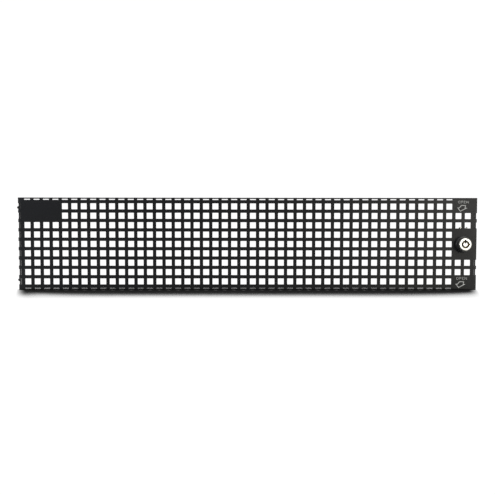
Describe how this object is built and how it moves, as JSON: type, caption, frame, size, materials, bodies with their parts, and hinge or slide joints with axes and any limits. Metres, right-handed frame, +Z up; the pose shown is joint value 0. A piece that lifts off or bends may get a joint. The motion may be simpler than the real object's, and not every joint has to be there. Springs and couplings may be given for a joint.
{
  "type": "rack front grille",
  "caption": "Shallow folded sheet-steel front grille for rack equipment, with square perforation, locating pins on one side and a round-key cam lock on the other.",
  "frame": {"origin": "on the underside of the bottom flange, at mid width and mid depth of the tray", "axes": "+X to the right seen from the front, +Y from the front to the open back, +Z up"},
  "size_m": [0.4434, 0.0325, 0.0888],
  "materials": {
    "panel_powder_coat": "black fine-texture powder coat on steel sheet",
    "lock_black": "satin black coat on die-cast metal",
    "lock_chrome": "bright chrome plate",
    "lock_nickel": "nickel plate on turned metal",
    "key_pin_brass": "turned brass",
    "zinc_plate": "zinc plate on pressed steel"
  },
  "bodies": {
    "grille": {"grille_panel": "panel_powder_coat", "upper_locating_pin": "panel_powder_coat", "lower_locating_pin": "panel_powder_coat", "lock_housing": "lock_black", "lock_tooth_washer": "zinc_plate", "lock_nut": "zinc_plate", "lock_face_ring": "lock_chrome"},
    "plug": {"lock_plug": "lock_nickel", "stop_washer": "zinc_plate", "lock_cam": "zinc_plate", "cam_spring_washer": "zinc_plate", "cam_bolt": "zinc_plate"},
    "pin_1": {"key_pin_1": "key_pin_brass"},
    "pin_2": {"key_pin_2": "key_pin_brass"},
    "pin_3": {"key_pin_3": "key_pin_brass"},
    "pin_4": {"key_pin_4": "key_pin_brass"},
    "pin_5": {"key_pin_5": "key_pin_brass"},
    "pin_6": {"key_pin_6": "key_pin_brass"},
    "pin_7": {"key_pin_7": "key_pin_brass"}
  },
  "joints": [
    {"name": "lock_turn", "type": "hinge", "parent": "grille", "child": "plug", "pos_m": [0.207, 0, 0.0444], "axis": [0, 1, 0], "range_deg": [0, 90]},
    {"name": "pin_1_press", "type": "slide", "parent": "plug", "child": "pin_1", "axis": [0, 1, 0], "range_m": [0, 0.0025], "stiffness_N_per_m": 150},
    {"name": "pin_2_press", "type": "slide", "parent": "plug", "child": "pin_2", "axis": [0, 1, 0], "range_m": [0, 0.0025], "stiffness_N_per_m": 150},
    {"name": "pin_3_press", "type": "slide", "parent": "plug", "child": "pin_3", "axis": [0, 1, 0], "range_m": [0, 0.0025], "stiffness_N_per_m": 150},
    {"name": "pin_4_press", "type": "slide", "parent": "plug", "child": "pin_4", "axis": [0, 1, 0], "range_m": [0, 0.0025], "stiffness_N_per_m": 150},
    {"name": "pin_5_press", "type": "slide", "parent": "plug", "child": "pin_5", "axis": [0, 1, 0], "range_m": [0, 0.0025], "stiffness_N_per_m": 150},
    {"name": "pin_6_press", "type": "slide", "parent": "plug", "child": "pin_6", "axis": [0, 1, 0], "range_m": [0, 0.0025], "stiffness_N_per_m": 150},
    {"name": "pin_7_press", "type": "slide", "parent": "plug", "child": "pin_7", "axis": [0, 1, 0], "range_m": [0, 0.0025], "stiffness_N_per_m": 150}
  ]
}
